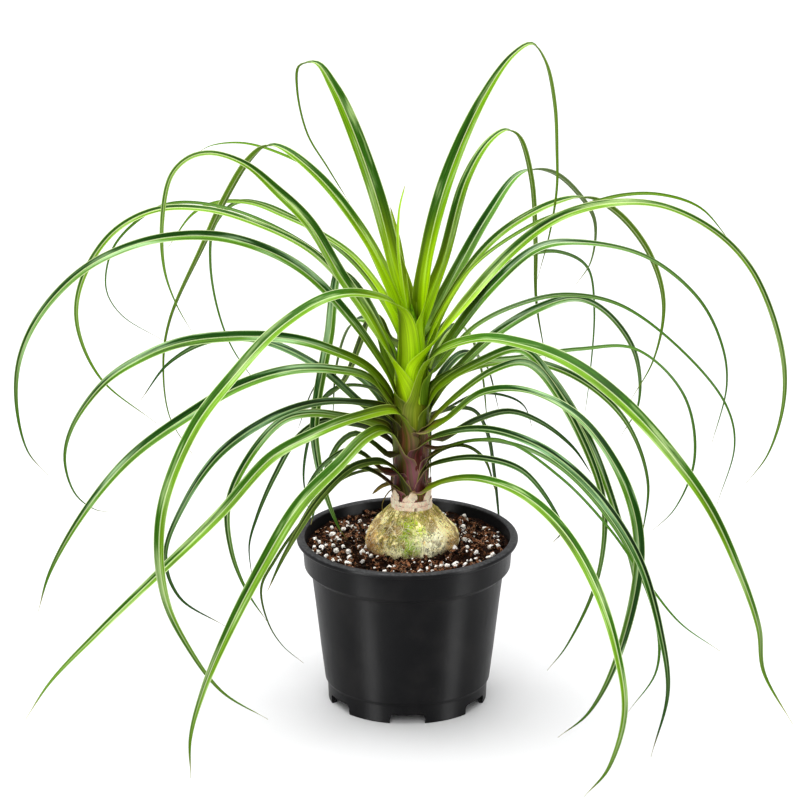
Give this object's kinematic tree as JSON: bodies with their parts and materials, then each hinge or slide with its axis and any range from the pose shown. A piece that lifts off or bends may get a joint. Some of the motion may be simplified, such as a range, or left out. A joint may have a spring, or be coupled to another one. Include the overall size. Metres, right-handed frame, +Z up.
{
  "type": "potted ponytail palm",
  "caption": "Young ponytail palm with a swollen base and long arching strap leaves, growing in soil in a round nursery pot.",
  "frame": {"origin": "on the ground under the middle of the pot and of the spread of leaves", "axes": "+Z up out of the pot, -Y towards the viewer of the plant's front, +X to the right"},
  "size_m": [0.5675, 0.5731, 0.5082],
  "materials": {
    "pot_plastic": "black moulded plastic with a satin sheen",
    "soil": null,
    "caudex": null,
    "leaf": null
  },
  "bodies": {
    "root": {"caudex_and_stem": "caudex", "leaf_back_01": "leaf", "leaf_back_02": "leaf", "leaf_back_03": "leaf", "leaf_back_04": "leaf", "leaf_back_05": "leaf", "leaf_back_06": "leaf", "leaf_left_01": "leaf", "leaf_left_02": "leaf", "leaf_left_03": "leaf", "leaf_left_04": "leaf", "leaf_left_05": "leaf", "leaf_left_06": "leaf", "leaf_left_07": "leaf", "leaf_left_08": "leaf", "leaf_left_09": "leaf", "leaf_left_10": "leaf", "leaf_left_11": "leaf", "leaf_left_12": "leaf", "leaf_left_13": "leaf", "leaf_left_14": "leaf", "leaf_left_15": "leaf", "leaf_left_16": "leaf", "leaf_left_17": "leaf", "leaf_left_18": "leaf", "leaf_left_19": "leaf", "leaf_left_20": "leaf", "leaf_left_21": "leaf", "leaf_left_22": "leaf", "leaf_left_23": "leaf", "leaf_left_24": "leaf", "leaf_left_25": "leaf", "leaf_left_26": "leaf", "leaf_right_01": "leaf", "leaf_right_02": "leaf", "leaf_right_03": "leaf", "leaf_right_04": "leaf", "leaf_right_05": "leaf", "leaf_right_06": "leaf", "leaf_right_07": "leaf", "leaf_right_08": "leaf", "leaf_right_09": "leaf", "leaf_right_10": "leaf", "leaf_right_11": "leaf", "leaf_right_12": "leaf", "leaf_right_13": "leaf", "leaf_right_14": "leaf", "leaf_right_15": "leaf", "leaf_right_16": "leaf", "leaf_right_17": "leaf", "leaf_right_18": "leaf", "leaf_right_19": "leaf", "leaf_right_20": "leaf", "leaf_right_21": "leaf", "leaf_right_22": "leaf", "leaf_right_23": "leaf", "leaf_right_24": "leaf", "leaf_right_25": "leaf", "pot": "pot_plastic", "soil": "soil"}
  },
  "joints": []
}
